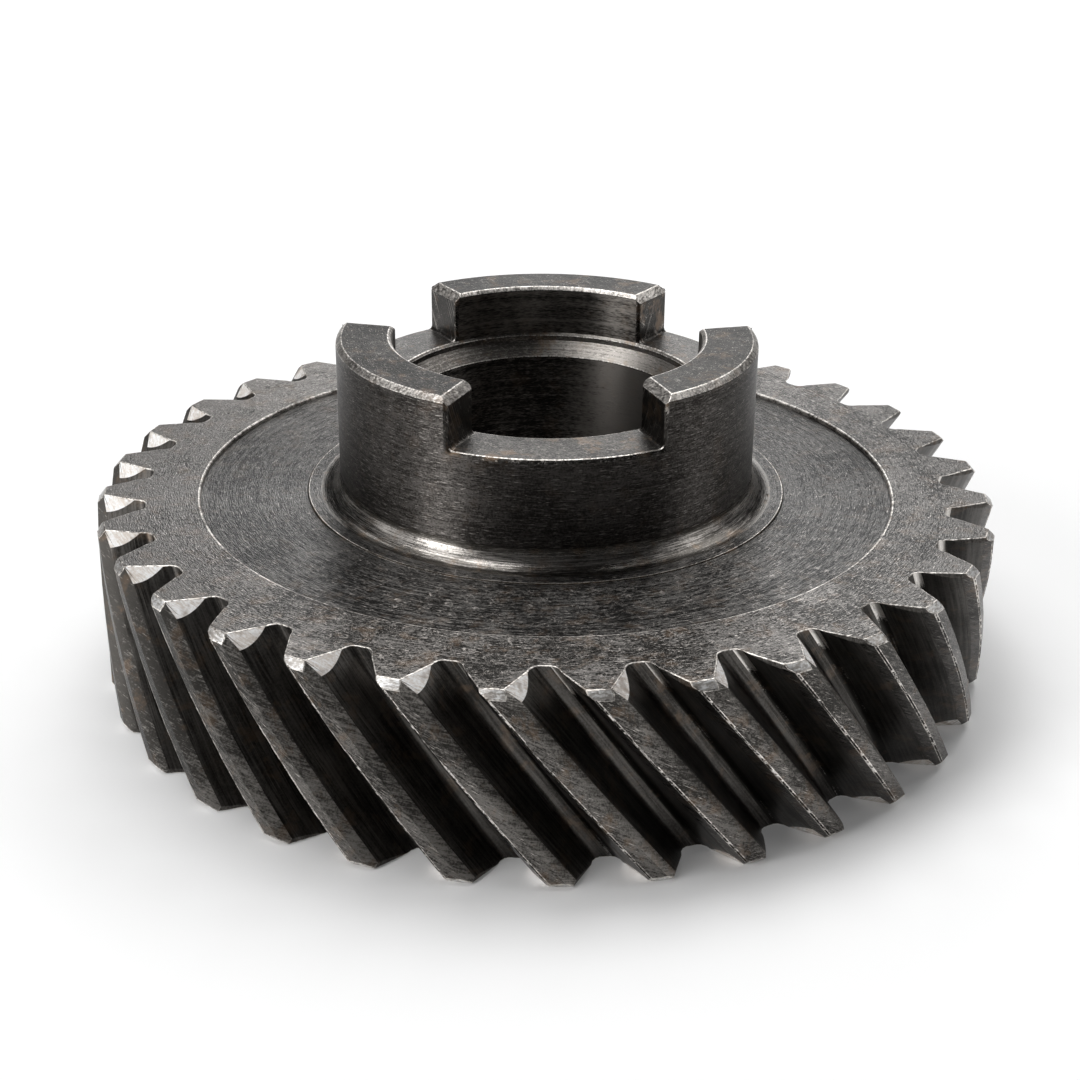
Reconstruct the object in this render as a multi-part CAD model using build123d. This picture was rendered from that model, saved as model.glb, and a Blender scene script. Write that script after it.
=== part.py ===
from build123d import *
import math
import os

os.makedirs("parts", exist_ok=True)

# Helical gear with a raised hub that carries three dog lugs. One solid.
# Millimetres, +Z along the bore axis, rear face on z = 0, lugs on top.

# Tooth system, cut with a standard rack of this normal module.
NORMAL_MODULE = 2.5
TEETH = 32
HELIX_ANGLE = 36.84
NORMAL_PRESSURE_ANGLE = 20.0
ADDENDUM = 1.0 * NORMAL_MODULE
DEDENDUM = 1.25 * NORMAL_MODULE
ROOT_CORNER = 0.26 * NORMAL_MODULE
FACE_WIDTH = 22.3
TOOTH_PHASE = 2.3

# Bevel along both edges of every tooth's land, and the 45 degree chamfer
# turned on the tips at both faces of the rim.
EDGE_BREAK_DEPTH = 1.05
EDGE_BREAK_WIDTH = 0.94
TIP_CHAMFER = 0.8

# End facets that break the flank corners at both faces of the rim. Each is
# deepest at the tip and runs out near the root. The open corner is the one
# where the flank leans away under the face, the sharp one overhangs. The cut
# leaves the flank before its root end, by the run-out.
OPEN_FACET_SHIFT = 0.35
OPEN_FACET_DROP = 1.5
SHARP_FACET_SHIFT = 0.55
SHARP_FACET_DROP = 0.6
FACET_ROOT_RISE = 0.7
FACET_RUN_OUT = 0.12

# Web, hub and bore.
RIM_LAND = 6.26
RECESS_DEPTH = 0.5
HUB_RADIUS = 24.3
HUB_FILLET = 2.3
RING_LAND = 1.6
RING_STEP = 0.15
BORE_RADIUS = 16.0
BORE_CHAMFER = 1.6
REAR_CHAMFER = 1.0

# Dog lugs. Each gap between two lugs is given by its two walls, and each
# wall by its angle at the hub's outside and its angle at the inside.
HUB_HEIGHT = 12.1
LUG_HEIGHT = 5.9
SEAT_DEPTH = 0.9
SEAT_LEDGE = 0.3
LUG_TOP_CHAMFER = 0.6
LUG_INNER_CHAMFER = 0.4
LUG_END_CHAMFER = 0.9
LUG_CORNER_BREAK = 0.3
FLOOR_FILLET = 0.5
GAPS = [
    ((244.5, 243.7), (301.4, 305.0)),
    ((10.6, 9.6), (52.3, 51.2)),
    ((127.1, 128.7), (169.8, 170.6)),
]

# Values that follow from the ones above.
HELIX = math.radians(HELIX_ANGLE)
TRANSVERSE_MODULE = NORMAL_MODULE / math.cos(HELIX)
PITCH_RADIUS = TRANSVERSE_MODULE * TEETH / 2
TIP_RADIUS = PITCH_RADIUS + ADDENDUM
ROOT_RADIUS = PITCH_RADIUS - DEDENDUM
TRANSVERSE_PRESSURE = math.atan(math.tan(math.radians(NORMAL_PRESSURE_ANGLE)) / math.cos(HELIX))
BASE_RADIUS = PITCH_RADIUS * math.cos(TRANSVERSE_PRESSURE)
TWIST_PER_MM = math.degrees(math.tan(HELIX) / PITCH_RADIUS)
TWIST = FACE_WIDTH * TWIST_PER_MM
PITCH_STEP = 360.0 / TEETH
FLANK_TOP_RADIUS = TIP_RADIUS - EDGE_BREAK_DEPTH
FLANK_LOW_RADIUS = ROOT_RADIUS + ROOT_CORNER
RECESS_RADIUS = ROOT_RADIUS - RIM_LAND
CORE_RADIUS = ROOT_RADIUS - RIM_LAND / 2
WEB_Z = FACE_WIDTH - RECESS_DEPTH
RING_RADIUS = HUB_RADIUS + HUB_FILLET + RING_LAND
RING_Z = WEB_Z + RING_STEP
LUG_FLOOR_Z = FACE_WIDTH + HUB_HEIGHT
LUG_TOP_Z = LUG_FLOOR_Z + LUG_HEIGHT
SEAT_Z = LUG_FLOOR_Z - SEAT_DEPTH
SEAT_RADIUS = BORE_RADIUS + BORE_CHAMFER
LUG_INNER_RADIUS = SEAT_RADIUS + SEAT_LEDGE
CLEAR = 3.0


def polar(radius, degrees, z=0.0):
    """Point at a radius and an angle about the bore axis."""
    a = math.radians(degrees)
    return Vector(radius * math.cos(a), radius * math.sin(a), z)


def half_angle(radius):
    """Half of a tooth's involute thickness at a radius, in degrees."""
    here = math.acos(min(1.0, BASE_RADIUS / radius))
    inv_pitch = math.tan(TRANSVERSE_PRESSURE) - TRANSVERSE_PRESSURE
    inv_here = math.tan(here) - here
    return math.degrees(math.pi / (2 * TEETH) + inv_pitch - inv_here)


def flank_points(low, high, side, count=5):
    """Points up one involute flank. side is -1 or 1."""
    radii = [low + (high - low) * i / (count - 1) for i in range(count)]
    return [polar(r, side * half_angle(r)) for r in radii]


def root_corner(side):
    """The rounded corner between a flank and the root, as two flats."""
    start = half_angle(ROOT_RADIUS)
    reach = math.degrees(ROOT_CORNER / ROOT_RADIUS)
    bow = 1 - math.sqrt(0.5)
    return [
        polar(ROOT_RADIUS, side * (start + reach)),
        polar(ROOT_RADIUS + bow * ROOT_CORNER, side * (start + bow * reach)),
        polar(FLANK_LOW_RADIUS, side * half_angle(FLANK_LOW_RADIUS)),
    ]


def tooth_outline(centre):
    """Edges of one tooth and of the root land after it."""
    rise, fall = root_corner(-1), root_corner(1)[::-1]
    tip_half = half_angle(FLANK_TOP_RADIUS) - math.degrees(EDGE_BREAK_WIDTH / TIP_RADIUS)
    up = flank_points(FLANK_LOW_RADIUS, FLANK_TOP_RADIUS, -1)
    down = flank_points(FLANK_LOW_RADIUS, FLANK_TOP_RADIUS, 1)[::-1]
    tip_a = polar(TIP_RADIUS, -tip_half)
    tip_b = polar(TIP_RADIUS, tip_half)
    root_mid = polar(ROOT_RADIUS, PITCH_STEP / 2)
    root_next = rise[0].rotate(Axis.Z, PITCH_STEP)
    edges = [
        Line(rise[0], rise[1]),
        Line(rise[1], rise[2]),
        Spline(*up),
        Line(up[-1], tip_a),
        ThreePointArc(tip_a, polar(TIP_RADIUS, 0), tip_b),
        Line(tip_b, down[0]),
        Spline(*down),
        Line(fall[0], fall[1]),
        Line(fall[1], fall[2]),
        ThreePointArc(fall[2], root_mid, root_next),
    ]
    return [e.rotate(Axis.Z, centre) for e in edges]


def twisted_rim():
    """Full disc of teeth: one outline, twisted along the helix."""
    edges = []
    for i in range(TEETH):
        edges += tooth_outline(TOOTH_PHASE + i * PITCH_STEP)
    return Solid.extrude_linear_with_rotation(
        Wire(edges), center=(0, 0, 0), normal=(0, 0, FACE_WIDTH), angle=-TWIST)


def turned(points):
    """Solid of revolution about Z from (radius, z) points."""
    outline = Polyline(*[(r, 0, z) for r, z in points], close=True)
    return revolve(make_face(outline), Axis.Z, 360)


def tip_envelope():
    """Turned blank that puts the tip chamfers on both faces."""
    outer = TIP_RADIUS + 0.01
    inner = outer - TIP_CHAMFER
    return turned([
        (0, 0),
        (inner, 0),
        (outer, TIP_CHAMFER),
        (outer, FACE_WIDTH - TIP_CHAMFER),
        (inner, FACE_WIDTH),
        (0, FACE_WIDTH),
    ])


def facet_tool(centre, side, shift, drop):
    """Block that cuts one flank's end facet at the front face."""
    low_r = ROOT_RADIUS + FACET_ROOT_RISE
    flank_tip = centre + side * half_angle(FLANK_TOP_RADIUS)
    flank_low = centre + side * (half_angle(low_r) + math.degrees(FACET_RUN_OUT / low_r))
    turn = math.degrees(shift / TIP_RADIUS)
    tip = polar(FLANK_TOP_RADIUS, flank_tip - side * turn, FACE_WIDTH)
    low = polar(low_r, flank_low, FACE_WIDTH)
    under = polar(FLANK_TOP_RADIUS, flank_tip + drop * TWIST_PER_MM, FACE_WIDTH - drop)
    along = (tip - low).normalized()
    out = along.cross(tip - under).normalized()
    if out.Z < 0:
        out = out * -1
    rise = out.cross(along).normalized()
    if rise.Z < 0:
        rise = rise * -1
    corners = [
        low - along * 0.1 - rise * drop,
        tip + along * CLEAR - rise * (drop + CLEAR / 2),
        tip + along * CLEAR + rise * CLEAR / 2,
        low - along * 0.1 + rise * CLEAR / 2,
    ]
    return Solid.extrude(Face(Wire.make_polygon(corners)), out * CLEAR)


def facet_tools():
    """End facet blocks for both flanks of every tooth at both faces."""
    tools = []
    for i in range(TEETH):
        centre = TOOTH_PHASE - TWIST + i * PITCH_STEP
        tools.append(facet_tool(centre, 1, OPEN_FACET_SHIFT, OPEN_FACET_DROP))
        tools.append(facet_tool(centre, -1, SHARP_FACET_SHIFT, SHARP_FACET_DROP))
    middle = TOOTH_PHASE - TWIST / 2
    flip = Axis((0, 0, FACE_WIDTH / 2), polar(1, middle))
    return tools + [t.rotate(flip, 180) for t in tools]


def rim():
    """Toothed ring outside the turned core."""
    ring = twisted_rim() & tip_envelope()
    ring = ring - facet_tools()
    return ring - Cylinder(CORE_RADIUS, 4 * FACE_WIDTH)


def hub_blank():
    """Turned core: web with its shallow recess, hub fillet and hub."""
    bow = HUB_FILLET * (1 - math.sqrt(0.5))
    fillet_top = (HUB_RADIUS, 0, RING_Z + HUB_FILLET)
    fillet_mid = (HUB_RADIUS + bow, 0, RING_Z + bow)
    fillet_low = (HUB_RADIUS + HUB_FILLET, 0, RING_Z)
    path = [
        (HUB_RADIUS + HUB_FILLET, RING_Z),
        (RING_RADIUS, RING_Z),
        (RING_RADIUS, WEB_Z),
        (RECESS_RADIUS, WEB_Z),
        (RECESS_RADIUS, FACE_WIDTH),
        (CORE_RADIUS, FACE_WIDTH),
        (CORE_RADIUS, 0),
        (BORE_RADIUS + REAR_CHAMFER, 0),
        (BORE_RADIUS, REAR_CHAMFER),
        (BORE_RADIUS, SEAT_Z - BORE_CHAMFER),
        (SEAT_RADIUS, SEAT_Z),
        (SEAT_RADIUS, LUG_FLOOR_Z - SEAT_LEDGE),
        (LUG_INNER_RADIUS, LUG_FLOOR_Z),
        (LUG_INNER_RADIUS, LUG_TOP_Z - LUG_INNER_CHAMFER),
        (LUG_INNER_RADIUS + LUG_INNER_CHAMFER, LUG_TOP_Z),
        (HUB_RADIUS - LUG_TOP_CHAMFER, LUG_TOP_Z),
        (HUB_RADIUS, LUG_TOP_Z - LUG_TOP_CHAMFER),
        (HUB_RADIUS, RING_Z + HUB_FILLET),
    ]
    line = Polyline(*[(r, 0, z) for r, z in path])
    arc = ThreePointArc(fillet_top, fillet_mid, fillet_low)
    return revolve(make_face([line, arc]), Axis.Z, 360)


def wall_line(wall):
    """A gap wall in plan, lengthened past the hub at both ends."""
    outside = polar(HUB_RADIUS, wall[0])
    inside = polar(LUG_INNER_RADIUS, wall[1])
    way = (outside - inside).normalized()
    return inside - way * CLEAR, outside + way * HUB_RADIUS / 3


def gap_outline(gap, widen, z):
    """Plan of one gap at a height, each wall moved out by widen."""
    corners = []
    for wall, sign in ((gap[0], -1), (gap[1], 1)):
        inner, outer = wall_line(wall)
        way = (outer - inner).normalized()
        move = Vector(-way.Y, way.X, 0) * widen * sign + Vector(0, 0, z)
        corners.append((inner + move, outer + move))
    (a_in, a_out), (b_in, b_out) = corners
    return Face(Wire.make_polygon([a_in, a_out, b_out, b_in]))


def gap_tool(gap):
    """Cutter for one gap, with rounded floor corners and a flared top."""
    floor = gap_outline(gap, 0, LUG_FLOOR_Z)
    slot = Solid.extrude(floor, Vector(0, 0, LUG_HEIGHT + CLEAR))
    low = slot.edges().group_by(Axis.Z)[0]
    walls = low.sort_by(lambda e: math.hypot(e.center().X, e.center().Y))[1:3]
    slot = slot.fillet(FLOOR_FILLET, walls)
    start = gap_outline(gap, 0, LUG_TOP_Z - LUG_END_CHAMFER)
    end = gap_outline(gap, 2 * LUG_END_CHAMFER, LUG_TOP_Z + LUG_END_CHAMFER)
    flare = Solid.make_loft([start.outer_wire(), end.outer_wire()], ruled=True)
    return slot + flare


def hub():
    """Core with the three gaps cut and their worn corners broken."""
    body = hub_blank()
    for gap in GAPS:
        body = body - gap_tool(gap)
    # The break on a wall's upright corner runs on round the floor's edge.
    corners = []
    for edge in body.edges().filter_by(GeomType.LINE).filter_by(Axis.Z):
        if edge.center().Z > LUG_FLOOR_Z and edge.length < LUG_HEIGHT:
            corners.append(edge)
    return body.chamfer(LUG_CORNER_BREAK, None, corners)


def gear():
    """The whole gear as one solid."""
    return rim() + hub()


part = gear()
part.label = "gear"
print("valid", part.is_valid, "solids", len(part.solids()), "faces", len(part.faces()))
print("volume cm3", round(part.volume / 1000, 2), "box", part.bounding_box())
export_step(part, "parts/gear.step")
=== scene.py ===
import math

import bmesh
import bpy
from mathutils import Matrix, Vector


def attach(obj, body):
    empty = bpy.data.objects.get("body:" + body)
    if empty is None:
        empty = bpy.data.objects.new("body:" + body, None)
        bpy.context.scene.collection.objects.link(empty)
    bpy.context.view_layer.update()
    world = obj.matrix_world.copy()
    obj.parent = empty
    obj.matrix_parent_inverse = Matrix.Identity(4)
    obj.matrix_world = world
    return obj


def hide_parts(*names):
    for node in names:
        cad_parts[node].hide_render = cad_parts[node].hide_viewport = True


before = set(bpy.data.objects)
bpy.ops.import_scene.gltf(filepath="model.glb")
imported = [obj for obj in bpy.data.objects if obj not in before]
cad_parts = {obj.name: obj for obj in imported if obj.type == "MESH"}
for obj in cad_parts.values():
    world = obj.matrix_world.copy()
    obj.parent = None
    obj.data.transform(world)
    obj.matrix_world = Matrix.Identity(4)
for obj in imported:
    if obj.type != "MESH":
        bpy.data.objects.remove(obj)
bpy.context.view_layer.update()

# The gear blank.
# One steel forging, turned, hobbed and milled all over. Its shape is the packed
# solid's, merged here into one closed mesh.
MM = 0.001
MERGE = 0.002 * MM
blank = bmesh.new()
blank.from_mesh(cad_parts["gear"].data)
bmesh.ops.remove_doubles(blank, verts=blank.verts, dist=MERGE)
bmesh.ops.dissolve_degenerate(blank, edges=blank.edges, dist=MERGE)
blank.normal_update()
for face in blank.faces:
    face.smooth = True
    face.tag = False
mesh = bpy.data.meshes.new("gear_body")


class Lie:
    """Where a face's middle lies, in millimetres, and how far it faces up, out and round."""

    def __init__(self, face):
        middle = face.calc_center_median() / MM
        outward = Vector((middle.x, middle.y, 0)).normalized()
        self.radius = math.hypot(middle.x, middle.y)
        self.height = middle.z
        self.up = face.normal.z
        self.out = face.normal.dot(outward)
        self.onward = face.normal.dot(Vector((-outward.y, outward.x, 0)))


def claim(finish, belongs):
    """Give a finish to every face that belongs to it and has none yet."""
    slot = len(mesh.materials)
    mesh.materials.append(finish)
    for face in blank.faces:
        if not face.tag and belongs(Lie(face)):
            face.tag = True
            face.material_index = slot


# The web: the turned end faces.
# A lathe tool faced them on both sides, and left fine broken rings. The inner
# part is cut half a millimetre deeper, and the rim's land outside it is worn.
RIM_HEIGHT = 22.3
RECESS_RADIUS = 40.595
RING_RADIUS = 28.2
LINE_RADIUS = 27.2
FILLET_RADIUS = 26.6
ROOT_RADIUS = 46.86
TEETH_FROM = ROOT_RADIUS - 1
TOOTH_ENDS = (45.5, 50.5)
CLOSE = 0.1
LEVEL = 0.99
STEEP = 0.7


def node(tree, kind, feeds=None, **settings):
    """A node with its settings, and its inputs set or fed by name or place."""
    made = tree.nodes.new("ShaderNode" + kind)
    for name, value in settings.items():
        setattr(made, name, value)
    for key, value in (feeds or {}).items():
        if isinstance(value, bpy.types.NodeSocket):
            tree.links.new(value, made.inputs[key])
        else:
            made.inputs[key].default_value = value
    return made


def calc(tree, operation, *values):
    """The result of one Math node."""
    return node(tree, "Math", dict(enumerate(values)), operation=operation).outputs[0]


def total(tree, first, *others):
    """The sum of two or more values."""
    for other in others:
        first = calc(tree, "ADD", first, other)
    return first


def joined(tree, *parts):
    """A vector of up to three parts."""
    return node(tree, "CombineXYZ", dict(enumerate(parts))).outputs[0]


def scaled(tree, vector, factor):
    """A vector times a factor."""
    return node(tree, "VectorMath", {0: vector, "Scale": factor}, operation="SCALE").outputs[0]


def ramp(tree, value, span, to=(0.0, 1.0)):
    """A value moved from one span to another, with soft ends."""
    feeds = {"Value": value, "From Min": span[0], "From Max": span[1], "To Min": to[0], "To Max": to[1]}
    return node(tree, "MapRange", feeds, interpolation_type="SMOOTHSTEP").outputs["Result"]


def band(tree, value, middle, half, soft):
    """1 where value is within half of the middle, with a soft border."""
    away = calc(tree, "ABSOLUTE", calc(tree, "SUBTRACT", value, middle))
    return ramp(tree, away, (half + soft, half))


def noise(tree, vector, scale, detail=2.0, rough=0.5, distortion=0.0):
    """Smooth noise from 0 to 1."""
    feeds = {"Vector": vector, "Scale": scale, "Detail": detail, "Roughness": rough, "Distortion": distortion}
    return node(tree, "TexNoise", feeds).outputs["Fac"]


def blend(tree, share, first, second):
    """Two colours mixed by a share from 0 to 1."""
    mixed = node(tree, "Mix", {"Factor": share}, data_type="RGBA")
    for socket, value in ((mixed.inputs[6], first), (mixed.inputs[7], second)):
        if isinstance(value, bpy.types.NodeSocket):
            tree.links.new(value, socket)
        else:
            socket.default_value = (*value, 1.0)
    return mixed.outputs[2]


def group(name, inputs, outputs):
    """An empty node group, with its inputs' and outputs' names."""
    tree = bpy.data.node_groups.new(name, "ShaderNodeTree")
    for label, value in inputs.items():
        socket = tree.interface.new_socket(label, in_out="INPUT", socket_type="NodeSocketFloat")
        socket.default_value = value
    for label, kind in outputs.items():
        tree.interface.new_socket(label, in_out="OUTPUT", socket_type="NodeSocket" + kind)
    return tree, tree.nodes.new("NodeGroupInput").outputs, tree.nodes.new("NodeGroupOutput").inputs


def place(tree, name, **values):
    """A group placed in a material with its own values."""
    made = tree.nodes.new("ShaderNodeGroup")
    made.node_tree = bpy.data.node_groups[name]
    for label, value in values.items():
        made.inputs[label].default_value = value
    return made.outputs


# Round the bore's axis: direction, distance and height, in millimetres.
tree, _, out = group(
    "round_the_bore", {}, {"Direction": "Vector", "Radius": "Float", "Height": "Float", "Place": "Vector"})
in_mm = scaled(tree, node(tree, "TexCoord").outputs["Object"], 1 / MM)
apart = node(tree, "SeparateXYZ", {0: in_mm}).outputs
flat = joined(tree, apart[0], apart[1])
tree.links.new(node(tree, "VectorMath", {0: flat}, operation="NORMALIZE").outputs[0], out["Direction"])
tree.links.new(node(tree, "VectorMath", {0: flat}, operation="LENGTH").outputs["Value"], out["Radius"])
tree.links.new(apart[2], out["Height"])
tree.links.new(in_mm, out["Place"])

# Marks of a lathe tool: short strokes that run round the axis. Around and
# Across are strokes to a radian and to a millimetre, and Rise is how much a
# millimetre of height counts for beside one of radius.
MARK_RISE = -0.8
RING_SCALE = 1.7
tree, given, out = group(
    "turning_marks", {"Around": 10, "Across": 6, "Rise": MARK_RISE},
    {"Marks": "Float", "Fine": "Float", "Rings": "Float"})
spot = place(tree, "round_the_bore")
over = calc(tree, "MULTIPLY_ADD", spot["Height"], given["Rise"], spot["Radius"])
turned = node(tree, "SeparateXYZ", {0: scaled(tree, spot["Direction"], given["Around"])}).outputs
stroke = joined(tree, turned[0], turned[1], calc(tree, "MULTIPLY", over, given["Across"]))
tree.links.new(noise(tree, stroke, scale=1.0, detail=2.0, rough=0.7), out["Marks"])
tree.links.new(noise(tree, stroke, scale=1.9, detail=1.0, rough=0.7), out["Fine"])
rings = node(tree, "TexNoise", {"W": over, "Scale": RING_SCALE, "Detail": 2.0, "Roughness": 0.7},
             noise_dimensions="1D")
tree.links.new(rings.outputs["Fac"], out["Rings"])

# Scratches from handling: thin straight lines in three directions.
SCRATCH_WIDTH = 0.012
SCRATCH_SPACING = (0.04, 1.9, 1.9)
SCRATCH_LAYS = (((0.3, 0.5, 0.35), 3.0), ((-0.5, 0.2, 1.3), 11.0), ((0.8, -0.4, 2.3), 27.0))
PATCH_BORDER = 0.15
tree, given, out = group("scratches", {"Amount": 0.5}, {"Mask": "Float"})
spot = place(tree, "round_the_bore")
lines = 0.0
for turn, offset in SCRATCH_LAYS:
    laid = node(tree, "Mapping", {"Vector": spot["Place"], "Rotation": turn, "Location": (offset, 0, 0)})
    drawn = node(tree, "VectorMath", {0: laid.outputs[0], 1: SCRATCH_SPACING}, operation="MULTIPLY")
    streak = noise(tree, drawn.outputs[0], scale=1.0, detail=0.0)
    wave = calc(tree, "ABSOLUTE", calc(tree, "SUBTRACT", streak, 0.5))
    line = calc(tree, "SUBTRACT", 1.0, calc(tree, "DIVIDE", wave, SCRATCH_WIDTH))
    lines = calc(tree, "MAXIMUM", lines, line)
patch = noise(tree, spot["Place"], scale=0.9, detail=2.0, rough=0.6)
edge = calc(tree, "SUBTRACT", 1.0, given["Amount"])
shown = node(tree, "MapRange", {
    "Value": patch, "From Min": edge, "From Max": calc(tree, "ADD", edge, PATCH_BORDER)})
tree.links.new(calc(tree, "MULTIPLY", lines, shown.outputs["Result"]), out["Mask"])

# Oil and rust stains: a slow change of tone, and brown patches.
BROWN_FROM = (0.52, 0.68)
tree, _, out = group("stains", {}, {"Tone": "Float", "Brown": "Float"})
spot = place(tree, "round_the_bore")
tree.links.new(noise(tree, spot["Place"], scale=0.16, detail=4.0, rough=0.65), out["Tone"])
patches = noise(tree, spot["Place"], scale=0.37, detail=3.0, rough=0.7)
tree.links.new(ramp(tree, patches, BROWN_FROM), out["Brown"])

BARE = (0.62, 0.58, 0.54)
BROWN = (0.24, 0.165, 0.11)
FINE_SHARE = 0.45
GRAIN_SCALE = 4.5
GLINTS_FROM = (0.64, 0.72)
SCRATCH_SHOW = 0.6
ROUGH_SPAN = (0.2, 0.8)


def machined(name, dark, light, cut, rough, relief=0.03, spread=(0.34, 0.66), stained=0.5, browned=0.3,
             scratched=0.5, glints=0.5, brushed=0.0, bare=BARE, grain=0.3):
    """A cut steel surface: strokes of two greys, grain, stains, bare glints and scratches."""
    material = bpy.data.materials.new(name)
    material.use_nodes = True
    tree = material.node_tree
    shader = tree.nodes["Principled BSDF"]
    shader.inputs["Metallic"].default_value = 1.0
    if brushed:
        shader.inputs["Anisotropic"].default_value = brushed
        shader.inputs["Anisotropic Rotation"].default_value = 0.25
        tangent = node(tree, "Tangent", direction_type="RADIAL", axis="Z").outputs[0]
        tree.links.new(tangent, shader.inputs["Tangent"])
    stroke, fine, tone = cut(tree)
    stain = place(tree, "stains")
    both = calc(tree, "MULTIPLY_ADD", calc(tree, "SUBTRACT", fine, stroke), FINE_SHARE, stroke)
    spot = place(tree, "round_the_bore")
    pits = noise(tree, spot["Place"], scale=GRAIN_SCALE, detail=1.0, rough=0.7)
    both = calc(tree, "MULTIPLY_ADD", calc(tree, "SUBTRACT", pits, 0.5), grain, both)
    shift = calc(tree, "MULTIPLY_ADD", calc(tree, "SUBTRACT", stain["Tone"], 0.5), stained, tone)
    colour = blend(tree, ramp(tree, total(tree, both, shift), spread), dark, light)
    colour = blend(tree, calc(tree, "MULTIPLY", stain["Brown"], browned), colour, BROWN)
    scratch = calc(tree, "MULTIPLY", place(tree, "scratches", Amount=scratched)["Mask"], SCRATCH_SHOW)
    glint = calc(tree, "MULTIPLY", ramp(tree, fine, GLINTS_FROM), glints)
    colour = blend(tree, calc(tree, "MAXIMUM", scratch, glint), colour, bare)
    tree.links.new(colour, shader.inputs["Base Color"])
    tree.links.new(ramp(tree, fine, ROUGH_SPAN, rough), shader.inputs["Roughness"])
    bump = node(tree, "Bump", {"Height": both, "Distance": relief * MM, "Strength": 1.0})
    tree.links.new(bump.outputs[0], shader.inputs["Normal"])
    return material


def turned_cut(around, across, rise=MARK_RISE, rings=0.0):
    """A cut with lathe marks: the function that gives a surface its strokes and tone."""
    def cut(tree):
        marks = place(tree, "turning_marks", Around=around, Across=across, Rise=rise)
        tone = calc(tree, "MULTIPLY", calc(tree, "SUBTRACT", marks["Rings"], 0.5), rings)
        return marks["Marks"], marks["Fine"], tone
    return cut


def toward(tree, axis):
    """How far a point's direction from the axis leans to +X, axis 0, or +Y, axis 1."""
    direction = place(tree, "round_the_bore")["Direction"]
    return node(tree, "SeparateXYZ", {0: direction}).outputs[axis]


def faced(at):
    """The flat end faces and the low steps between them."""
    in_web = FILLET_RADIUS - CLOSE < at.radius < TEETH_FROM and at.height < RIM_HEIGHT + CLOSE
    return in_web or at.up < -LEVEL or (at.up > LEVEL and at.radius > TEETH_FROM)


WEB_MARKS = turned_cut(around=20, across=6.5, rings=0.35)


def web_cut(tree):
    """Lathe marks on the web, with painted shade in front and two faint painted highlight lines by the
    fillet's foot.
    """
    stroke, fine, tone = WEB_MARKS(tree)
    radius = place(tree, "round_the_bore")["Radius"]
    ring = band(tree, radius, RING_RADIUS, half=0.1, soft=0.15)
    line = band(tree, radius, LINE_RADIUS, half=0.1, soft=0.2)
    # Painted highlight: two thin lighter rings by the fillet's foot.
    lit = calc(tree, "MULTIPLY", calc(tree, "MAXIMUM", ring, line), 0.06)
    # Painted shade: the web is darker toward the front.
    painted_shade_front = ramp(tree, toward(tree, 1), (-1.0, -0.8), (-0.05, 0.015))
    return stroke, fine, total(tree, tone, lit, painted_shade_front)


RIM_MARKS = turned_cut(around=36, across=5.5, rings=0.2)


def rim_cut(tree):
    """Worn lathe marks on the rim, brighter toward the teeth's ends, with painted light on the left and
    painted shade in front.
    """
    stroke, fine, tone = RIM_MARKS(tree)
    worn = ramp(tree, place(tree, "round_the_bore")["Radius"], TOOTH_ENDS, (0.0, 0.07))
    # Painted light: the rim is lighter on the left.
    painted_light_left = ramp(tree, toward(tree, 0), (-0.9, -0.3), (0.1, 0.0))
    # Painted shade: the rim is darker toward the front.
    painted_shade_front = ramp(tree, toward(tree, 1), (-1.0, -0.75), (-0.06, 0.0))
    return stroke, fine, total(tree, tone, worn, painted_light_left, painted_shade_front)


web = machined("turned_web", dark=(0.0101, 0.00959, 0.00903), light=(0.0977, 0.0939, 0.0896), cut=web_cut,
               rough=(0.43, 0.27), relief=0.12, spread=(0.44, 0.58), brushed=0.9, browned=0.12, grain=0.35)
rim_land = machined("worn_rim_land", dark=(0.0215, 0.0202, 0.0186), light=(0.161, 0.153, 0.145), cut=rim_cut,
                    rough=(0.44, 0.28), relief=0.12, spread=(0.44, 0.58), brushed=0.85, stained=0.7,
                    browned=0.25, scratched=0.6, glints=0.8, grain=0.5)
# The low steps' walls are painted far lighter than the web around them: painted light, so that they don't
# show as dark lines.
painted_light_step_walls = machined("painted_light_step_walls", dark=(0.2, 0.19, 0.178), light=(0.75, 0.72, 0.69),
                      cut=turned_cut(around=30, across=3.0), rough=(0.4, 0.55))
claim(painted_light_step_walls, lambda at: faced(at) and abs(at.up) < STEEP)
claim(rim_land, lambda at: faced(at) and at.radius > RECESS_RADIUS + CLOSE / 2 and at.up > 0)
claim(web, faced)

# The hub and its foot.
# The hub was turned from the same forging, and a rounded tool left the fillet
# that shines at its foot.
HUB_RADIUS = 24.3
FILLET_TOP = 24.25
FLAT = 0.999
SQUARE = 0.98
FILLET_MARKS = turned_cut(around=6, across=5.5, rings=0.6)
HUB_MARKS = turned_cut(around=14, across=8.5, rings=0.3)


def fillet_cut(tree):
    """Lathe marks on the fillet, with painted shade toward the hub and the web."""
    stroke, fine, tone = FILLET_MARKS(tree)
    height = place(tree, "round_the_bore")["Height"]
    # Painted shade: the fillet is darker toward the hub and toward the web.
    painted_shade_top = ramp(tree, height, (FILLET_TOP - 1.1, FILLET_TOP), (0.0, -0.3))
    painted_shade_foot = ramp(tree, height, (RIM_HEIGHT - 0.3, RIM_HEIGHT + 0.2), (-0.3, 0.0))
    return stroke, fine, total(tree, tone, painted_shade_top, painted_shade_foot)


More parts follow.
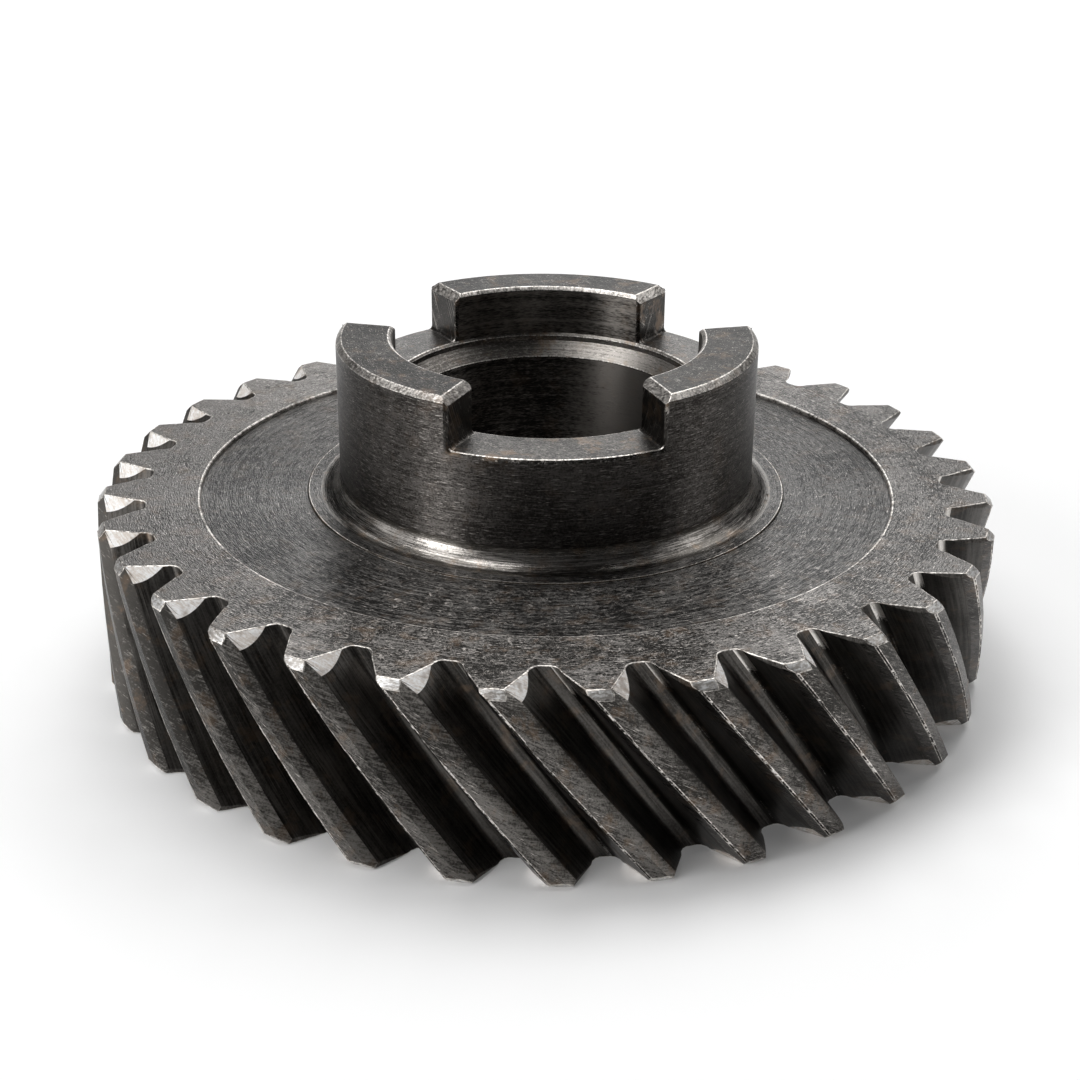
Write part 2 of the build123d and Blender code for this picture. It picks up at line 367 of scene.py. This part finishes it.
fillet = machined("polished_fillet", dark=(0.0951, 0.0882, 0.0795), light=(0.562, 0.529, 0.498),
                  cut=fillet_cut, rough=(0.2, 0.34), spread=(0.3, 0.7), brushed=0.6, browned=0.35,
                  scratched=0.3)
hub = machined("turned_hub", dark=(0.029, 0.0263, 0.0239), light=(0.121, 0.112, 0.105), cut=HUB_MARKS,
               rough=(0.42, 0.54), brushed=0.95, browned=0.08, scratched=0.3, glints=0.5, grain=0.5,
               stained=0.35)
claim(fillet, lambda at: HUB_RADIUS - 2 * CLOSE < at.radius < FILLET_RADIUS
      and RIM_HEIGHT - 1 < at.height < FILLET_TOP and at.up < FLAT)
claim(hub, lambda at: HUB_RADIUS - 0.15 < at.radius < HUB_RADIUS + CLOSE and at.out > SQUARE)

# The bore.
# Bored through and chamfered at both mouths, and polished in rings by the shaft
# that turned in it. The lugs' inner walls were bored in the same way.
SEAT_RADIUS = 17.6
LUG_FLOOR = 34.4
BORE_MARKS = turned_cut(around=16, across=6, rings=0.4)
MOUTH_MARKS = turned_cut(around=20, across=5, rise=1, rings=0.6)


def bore_cut(tree):
    """Rings in the bore, with painted shade deep down and a painted highlight on the right below the mouth.
    """
    stroke, fine, tone = BORE_MARKS(tree)
    height = place(tree, "round_the_bore")["Height"]
    # Painted shade: the bore is darker deep down.
    deep = ramp(tree, height, (2, 26), (-0.4, 0.0))
    # Painted highlight: the bore is lighter on the right, below the mouth.
    painted_highlight_right = ramp(tree, toward(tree, 0), (0.0, 0.6), (-0.08, 0.3))
    below = ramp(tree, height, (34, 32))
    return stroke, fine, total(tree, tone, deep, calc(tree, "MULTIPLY", painted_highlight_right, below))


def mouth_cut(tree):
    """Rings on the chamfer at the bore's mouth, with a painted highlight on the right like the bore's."""
    stroke, fine, tone = MOUTH_MARKS(tree)
    # Painted highlight: the mouth's chamfer is lighter on the right.
    return stroke, fine, total(tree, tone, ramp(tree, toward(tree, 0), (-0.4, 0.6), (-0.08, 0.15)))


bored_steel = machined("bored_steel", dark=(0.0131, 0.012, 0.0108), light=(0.196, 0.181, 0.165),
                       cut=bore_cut, rough=(0.34, 0.46), spread=(0.28, 0.72), brushed=0.9, browned=0.1,
                       scratched=0.0, glints=0.03, grain=0.05)
bore_mouth = machined("bore_mouth", dark=(0.105, 0.0966, 0.0879), light=(0.301, 0.283, 0.262),
                      cut=mouth_cut, rough=(0.28, 0.42), brushed=0.4, browned=0.5)
claim(bored_steel, lambda at: at.radius < SEAT_RADIUS + 0.5 and at.out < -SQUARE
      and not SEAT_RADIUS - CLOSE < at.radius < SEAT_RADIUS + CLOSE)
claim(bore_mouth, lambda at: at.radius < SEAT_RADIUS + 0.25 and at.height < LUG_FLOOR)

# The dog lugs.
# Three gaps were milled across the hub's end. The lugs' upper edges are broken
# at 45 degrees, and the sleeve that they drove has worn those breaks bright.
LUG_TOP = 40.3
BREAK_DEPTH = 0.95
BREAK_UP = 0.2
TOP_UP = 0.97
BRIGHT = (0.85, 0.81, 0.77)
LUG_MARKS = turned_cut(around=24, across=4.5, rise=-0.5)


def lug_cut(tree):
    """Tool marks on the lugs' tops, with painted light that makes them brighter on the right."""
    stroke, fine, tone = LUG_MARKS(tree)
    # Painted light: the lugs' tops are lighter on the right.
    return stroke, fine, total(tree, tone, ramp(tree, toward(tree, 0), (0.3, 0.8), (0.0, 0.12)))


def on_hub_above(at, height):
    """True for a face of the hub above a height."""
    return at.radius < HUB_RADIUS + CLOSE and at.height > height


lug_breaks = machined("lug_breaks", dark=(0.202, 0.189, 0.174), light=(0.747, 0.707, 0.666),
                      cut=turned_cut(around=46, across=1.3), rough=(0.3, 0.48), relief=0.09, glints=0.7,
                      bare=BRIGHT)
gap_floors = machined("gap_floors", dark=(0.0293, 0.0275, 0.0255), light=(0.117, 0.111, 0.104),
                      cut=LUG_MARKS, rough=(0.34, 0.5), relief=0.06, spread=(0.36, 0.64), stained=0.9,
                      browned=0.5, grain=0.7)
lug_tops = machined("lug_tops", dark=(0.0128, 0.012, 0.0111), light=(0.0514, 0.0492, 0.0464), cut=lug_cut,
                    rough=(0.46, 0.6), relief=0.06, spread=(0.36, 0.64), stained=0.8, grain=0.7)
milled_walls = machined("milled_walls", dark=(0.0147, 0.0134, 0.0121), light=(0.0556, 0.0515, 0.0473),
                        cut=LUG_MARKS, rough=(0.3, 0.46), browned=0.4)
claim(lug_breaks, lambda at: on_hub_above(at, LUG_TOP - BREAK_DEPTH) and BREAK_UP < at.up < TOP_UP)
claim(gap_floors, lambda at: on_hub_above(at, LUG_FLOOR - CLOSE) and at.height < LUG_FLOOR + CLOSE
      and at.up > TOP_UP)
claim(lug_tops, lambda at: on_hub_above(at, LUG_FLOOR - CLOSE) and at.up > TOP_UP)
claim(milled_walls, lambda at: on_hub_above(at, LUG_FLOOR - 0.6))

# The teeth.
# Thirty-two left-hand teeth, hobbed, with bevelled lands, a turned chamfer on
# the tips and a facet on each flank's corner. Handling has nicked the lands.
TEETH = 32
HELIX_ANGLE = math.radians(36.84)
PITCH_RADIUS = 49.98
TOOTH_PHASE = math.radians(2.3)
TOOTH_PITCH = 2 * math.pi / TEETH
FLANK_TOP_RADIUS = 51.43
CHAMFER_DEPTH = 0.85
FACET_DEPTH = 2.5
LAND_OUT = 0.985

# Where on its tooth a point is: across from the middle, and which tooth.
tree, _, out = group("on_the_tooth", {}, {
    "Across": "Float", "Tooth": "Float", "Height": "Float", "Radius": "Float", "Chance": "Float"})
spot = place(tree, "round_the_bore")
way = node(tree, "SeparateXYZ", {0: spot["Direction"]}).outputs
angle = calc(tree, "ARCTAN2", way[1], way[0])
straight = calc(tree, "MULTIPLY_ADD", spot["Height"], math.tan(HELIX_ANGLE) / PITCH_RADIUS, angle)
steps = calc(tree, "DIVIDE", calc(tree, "SUBTRACT", straight, TOOTH_PHASE), TOOTH_PITCH)
number = calc(tree, "ROUND", steps)
aside = calc(tree, "MULTIPLY", calc(tree, "SUBTRACT", steps, number), TOOTH_PITCH)
which = calc(tree, "FLOORED_MODULO", number, TEETH)
tree.links.new(calc(tree, "MULTIPLY", aside, spot["Radius"]), out["Across"])
tree.links.new(which, out["Tooth"])
tree.links.new(spot["Height"], out["Height"])
tree.links.new(spot["Radius"], out["Radius"])
chance = node(tree, "TexWhiteNoise", {"W": which}, noise_dimensions="1D").outputs["Value"]
tree.links.new(chance, out["Chance"])


def hob_streaks(tree):
    """Streaks that the hob leaves along a flank."""
    spot = place(tree, "on_the_tooth")
    seed = calc(tree, "MULTIPLY", spot["Tooth"], 7.3)
    deep = calc(tree, "MULTIPLY", spot["Radius"], 3.2)
    along = calc(tree, "MULTIPLY_ADD", spot["Height"], 0.12, seed)
    vector = joined(tree, deep, along, calc(tree, "MULTIPLY", spot["Across"], 1.5))
    stroke = noise(tree, vector, scale=1.0, detail=1.0, rough=0.5)
    return stroke, noise(tree, vector, scale=2.6, detail=1.0, rough=0.6), 0.0


def corner_streaks(tree):
    """The hob's streaks in the root's corner, with a painted highlight near the front face."""
    stroke, fine, _ = hob_streaks(tree)
    height = place(tree, "round_the_bore")["Height"]
    return stroke, fine, ramp(tree, height, (RIM_HEIGHT - 4.0, RIM_HEIGHT - 1.0), (-0.1, 0.35))


def land_scuffs(tree):
    """Nicks across a land, lighter below a slanting border that differs on each tooth, with painted shade on
    the lands at the left.
    """
    spot = place(tree, "on_the_tooth")
    seed = calc(tree, "MULTIPLY", spot["Tooth"], 9.1)
    slant = calc(tree, "MULTIPLY_ADD", spot["Across"], 0.9, spot["Height"])
    broad = joined(tree, calc(tree, "MULTIPLY", spot["Across"], 0.55), slant, seed)
    nicks = noise(tree, broad, scale=2.5, detail=3.0, rough=0.65, distortion=0.4)
    wave = noise(tree, broad, scale=0.5, detail=2.0, rough=0.5)
    drawn = calc(tree, "MULTIPLY", spot["Across"], 1.6)
    thin = joined(tree, drawn, calc(tree, "MULTIPLY", slant, 6.0), seed)
    fine = noise(tree, thin, scale=1.0, detail=2.0, rough=0.7)
    reach = ramp(tree, spot["Chance"], (0.0, 1.0), (4.0, 16.0))
    border = total(tree, reach, calc(tree, "MULTIPLY", wave, 7.0))
    worn = ramp(tree, calc(tree, "SUBTRACT", border, slant), (0.0, 1.6), (-0.045, 0.035))
    # Painted shade: the lands are darker on the left.
    painted_shade_left = ramp(tree, toward(tree, 0), (-0.97, -0.6), (-0.25, 0.0))
    return nicks, fine, total(tree, worn, painted_shade_left)


def is_facet(at):
    """True for an end facet, which doesn't face as the helix makes a flank face."""
    slope = math.tan(HELIX_ANGLE) * at.radius / PITCH_RADIUS
    return abs(at.up - at.onward * slope) / math.hypot(1, slope) > 0.12


def near_end(height):
    """How far a height is from the nearer face of the rim."""
    return min(height, RIM_HEIGHT - height)


tip_chamfers = machined("tip_chamfers", dark=(0.486, 0.454, 0.421), light=(0.95, 0.95, 0.95),
                        cut=turned_cut(around=60, across=2.5), rough=(0.36, 0.5), bare=BRIGHT)
tooth_facets = machined("tooth_facets", dark=(0.741, 0.683, 0.628), light=(0.95, 0.95, 0.95),
                        cut=turned_cut(around=40, across=2.5), rough=(0.62, 0.78), browned=0.5, bare=BRIGHT)
tooth_lands = machined("tooth_lands", dark=(0.03, 0.0282, 0.0258), light=(0.162, 0.152, 0.142),
                       cut=land_scuffs, rough=(0.26, 0.44), relief=0.06, spread=(0.36, 0.62), browned=0.28,
                       scratched=0.0, glints=0.9, grain=0.4)
land_bevels = machined("land_bevels", dark=(0.0328, 0.0304, 0.0282), light=(0.131, 0.123, 0.116),
                       cut=land_scuffs, rough=(0.24, 0.42), browned=0.3, scratched=0.0)
# The bevels on the lands' other side have the land bevels' finish painted several times lighter: painted
# light.
painted_light_land_shoulders = machined("painted_light_land_shoulders", dark=(0.085, 0.0799, 0.0739), light=(0.391, 0.37, 0.344),
                          cut=land_scuffs, rough=(0.48, 0.6), relief=0.05, browned=0.4, scratched=0.0,
                          grain=0.4)
# The root's corners are the flanks' steel painted far lighter toward the front face: a painted highlight.
root_corner_highlights = machined("root_corner_highlights", dark=(0.0276, 0.0253, 0.0229), light=(0.75, 0.72, 0.68),
                        cut=corner_streaks, rough=(0.3, 0.45), relief=0.012, spread=(0.5, 0.8),
                        scratched=0.0, glints=0.05)
hobbed_flanks = machined("hobbed_flanks", dark=(0.0276, 0.0253, 0.0229), light=(0.118, 0.111, 0.103),
                         cut=hob_streaks, rough=(0.34, 0.5), relief=0.012, spread=(0.25, 0.75),
                         browned=0.25, scratched=0.0, glints=0.05)
claim(tip_chamfers, lambda at: near_end(at.height) < CHAMFER_DEPTH and abs(at.up) > 0.6 and at.out > 0.6)
claim(tooth_facets, lambda at: near_end(at.height) < FACET_DEPTH and abs(at.up) > 0.15 and is_facet(at))
claim(tooth_lands, lambda at: at.out > LAND_OUT and at.radius > FLANK_TOP_RADIUS + 0.3)
claim(land_bevels, lambda at: at.radius > FLANK_TOP_RADIUS + 0.02 and at.onward < 0)
claim(painted_light_land_shoulders, lambda at: at.radius > FLANK_TOP_RADIUS + 0.02)
claim(root_corner_highlights, lambda at: ROOT_RADIUS + 0.01 < at.radius < ROOT_RADIUS + 0.6 and at.onward < 0
      and near_end(at.height) > 0)
claim(hobbed_flanks, lambda at: True)

# The worn edges.
# Handling has rounded the outer edges and rubbed them bright, and has nicked
# those of the lands. The tool left the web's steps rounder, and they shine less.
STEP_ROUND = 0.2
RING_ROUND = 0.12
EDGE_ROUND = 0.1
LEAST_ANGLE = math.radians(13)
SOFT_ANGLE = math.radians(35)
FLAT_ANGLE = math.radians(0.3)
NORMAL_WEIGHT = 60
bmesh.ops.dissolve_limit(
    blank, angle_limit=FLAT_ANGLE, verts=blank.verts, edges=blank.edges, delimit={"MATERIAL"})


def edge_nicks(tree):
    """Short bright nicks along a tooth's edge."""
    spot = place(tree, "on_the_tooth")
    seed = calc(tree, "MULTIPLY", spot["Tooth"], 5.7)
    vector = joined(tree, calc(tree, "MULTIPLY", spot["Height"], 1.4), seed)
    nicks = noise(tree, vector, scale=1.0, detail=3.0, rough=0.7)
    return nicks, nicks, 0.0


def kind_of(edge):
    """The kind of an edge that is rounded, by the finishes that meet there, or None."""
    pair = edge.link_faces
    if len(pair) != 2 or not edge.is_convex or edge.calc_face_angle() < LEAST_ANGLE:
        return None
    meet = {mesh.materials[face.material_index].name for face in pair}
    if meet <= {"turned_web", "worn_rim_land", "painted_light_step_walls"}:
        return "step" if edge.verts[0].co.xy.length > (RING_RADIUS + 1) * MM else "ring"
    if "polished_fillet" in meet:
        return None
    if meet <= {"tooth_lands", "land_bevels", "painted_light_land_shoulders", "root_corner_highlights", "hobbed_flanks"}:
        return "land" if meet == {"tooth_lands", "land_bevels"} else None
    if "milled_walls" in meet and not meet & {"lug_breaks", "lug_tops", "gap_floors"}:
        return "dull"
    return "bright"


web_steps = machined("web_steps", dark=(0.04, 0.0375, 0.035), light=(0.17, 0.162, 0.152),
                     cut=turned_cut(around=30, across=2.0), rough=(0.5, 0.6), scratched=0.0, glints=0.1)
ring_edge = machined("ring_edge", dark=(0.018, 0.016, 0.0138), light=(0.075, 0.066, 0.057),
                     cut=turned_cut(around=30, across=2.0), rough=(0.5, 0.65), scratched=0.0, glints=0.1)
nicked_edges = machined("nicked_edges", dark=(0.02, 0.0186, 0.017), light=BRIGHT, cut=edge_nicks,
                        rough=(0.4, 0.55), spread=(0.5, 0.62), scratched=0.0, bare=BRIGHT)
dull_edges = machined("dull_edges", dark=(0.0176, 0.016, 0.0144), light=(0.0896, 0.084, 0.078),
                      cut=turned_cut(around=30, across=1.2), rough=(0.4, 0.55), glints=0.5)
rubbed_edges = machined("rubbed_edges", dark=(0.153, 0.141, 0.129), light=(0.918, 0.879, 0.828),
                        cut=turned_cut(around=50, across=1.5), rough=(0.38, 0.52), relief=0.06, bare=BRIGHT)
for kind, width, finish in (
        ("step", STEP_ROUND, web_steps),
        ("ring", RING_ROUND, ring_edge),
        ("land", EDGE_ROUND, nicked_edges),
        ("dull", EDGE_ROUND, dull_edges),
        ("bright", EDGE_ROUND, rubbed_edges)):
    mesh.materials.append(finish)
    rounded = bmesh.ops.bevel(
        blank, geom=[edge for edge in blank.edges if kind_of(edge) == kind], offset=width * MM,
        offset_type="OFFSET", segments=2, profile=0.5, affect="EDGES", material=-1, clamp_overlap=False,
        loop_slide=False)
    for face in rounded["faces"]:
        face.smooth = True
        face.material_index = len(mesh.materials) - 1
bmesh.ops.remove_doubles(blank, verts=blank.verts, dist=MERGE)
bmesh.ops.dissolve_degenerate(blank, edges=blank.edges, dist=MERGE)
slot_of = {material.name: slot for slot, material in enumerate(mesh.materials)}
# Rounded faces on the hub's edges that face more sideways than up take the dull finish: painted shade, so
# that only the upper half of each edge shines.
for face in blank.faces:
    at = Lie(face)
    if face.material_index == slot_of["rubbed_edges"] and at.radius < HUB_RADIUS + CLOSE and at.up < 0.5:
        face.material_index = slot_of["dull_edges"]
for edge in blank.edges:
    if len(edge.link_faces) == 2:
        edge.smooth = edge.calc_face_angle() < SOFT_ANGLE
blank.to_mesh(mesh)
blank.free()
gear = bpy.data.objects.new("gear_body", mesh)
bpy.context.scene.collection.objects.link(gear)
even = gear.modifiers.new("even_shading", "WEIGHTED_NORMAL")
even.keep_sharp = True
even.weight = NORMAL_WEIGHT
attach(gear, "root")
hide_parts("gear")

# The studio.
# A plain pale floor that shows white to the camera and in the metal, and keeps
# the gear's shadow, under soft lights.
FLOOR_SIZE = 6
FLOOR_LIFT = 0.09
WORLD_LIGHT = 0.04
LAMP_DISTANCE = 2.5
PALE = (0.85, 0.85, 0.85, 1)
WHITE = (1, 1, 1, 1)
bpy.ops.mesh.primitive_plane_add(size=FLOOR_SIZE)
floor = bpy.context.object
floor.name = "floor"
paper = bpy.data.materials.new("white_floor")
paper.use_nodes = True
tree = paper.node_tree
shader = tree.nodes["Principled BSDF"]
shader.inputs["Base Color"].default_value = PALE
shader.inputs["Roughness"].default_value = 1.0
shader.inputs["Specular IOR Level"].default_value = 0.0
path = node(tree, "LightPath").outputs
seen = calc(tree, "MAXIMUM", path["Is Glossy Ray"], path["Is Transmission Ray"])
seen = calc(tree, "MAXIMUM", path["Is Camera Ray"], seen)
tree.links.new(calc(tree, "MULTIPLY", seen, FLOOR_LIFT), shader.inputs["Emission Strength"])
shader.inputs["Emission Color"].default_value = WHITE
floor.data.materials.append(paper)
scene = bpy.context.scene
scene.world = bpy.data.worlds.new("studio")
scene.world.use_nodes = True
sky = scene.world.node_tree.nodes["Background"]
sky.inputs["Color"].default_value = WHITE
sky.inputs["Strength"].default_value = WORLD_LIGHT
scene.view_settings.view_transform = "Standard"


def softbox(name, azimuth, elevation, width, height, strength):
    """A soft light of a given brightness that faces the gear from one direction."""
    data = bpy.data.lights.new(name, "AREA")
    data.shape = "RECTANGLE"
    data.size = width
    data.size_y = height
    data.energy = strength * math.pi * width * height
    lamp = bpy.data.objects.new(name, data)
    across = math.radians(azimuth)
    rise = math.radians(elevation)
    away = Vector((math.cos(rise) * math.cos(across), math.cos(rise) * math.sin(across), math.sin(rise)))
    lamp.location = LAMP_DISTANCE * away
    lamp.rotation_mode = "QUATERNION"
    lamp.rotation_quaternion = away.to_track_quat("Z", "Y")
    lamp.visible_camera = False
    scene.collection.objects.link(lamp)


softbox("high_behind", azimuth=95, elevation=71, width=1.85, height=1.0, strength=4.9)
softbox("high_left", azimuth=180, elevation=66, width=1.0, height=1.4, strength=4.4)
softbox("right_behind", azimuth=50, elevation=48, width=1.7, height=0.9, strength=3.1)
softbox("left_behind", azimuth=120, elevation=48, width=0.9, height=0.9, strength=1.6)
softbox("low_left", azimuth=213, elevation=19, width=1.0, height=1.6, strength=5.8)
softbox("side_left", azimuth=180, elevation=18, width=1.0, height=1.6, strength=0.8)
softbox("side_right", azimuth=0, elevation=22, width=1.0, height=1.8, strength=1.2)
softbox("low_behind", azimuth=88, elevation=16, width=1.1, height=1.5, strength=2.4)

# The camera, at the photograph's place and angle.
CAMERA_PLACE = Vector((0, -0.20694, 0.10956))
CAMERA_RIGHT = Vector((0.99995105, 0.00646287, 0.00749127))
CAMERA_UP = Vector((-0.00951005, 0.41901544, 0.9079293))
CAMERA_BACK = CAMERA_RIGHT.cross(CAMERA_UP)
turn = Matrix((CAMERA_RIGHT, CAMERA_UP, CAMERA_BACK)).transposed().to_4x4()
camera_data = bpy.data.cameras.new("camera")
camera_data.lens = 62.77
camera_data.sensor_width = 36
camera_data.clip_start = 0.01
camera_data.clip_end = 20
camera = bpy.data.objects.new("camera", camera_data)
camera.matrix_world = Matrix.Translation(CAMERA_PLACE) @ turn
scene.collection.objects.link(camera)
scene.camera = camera
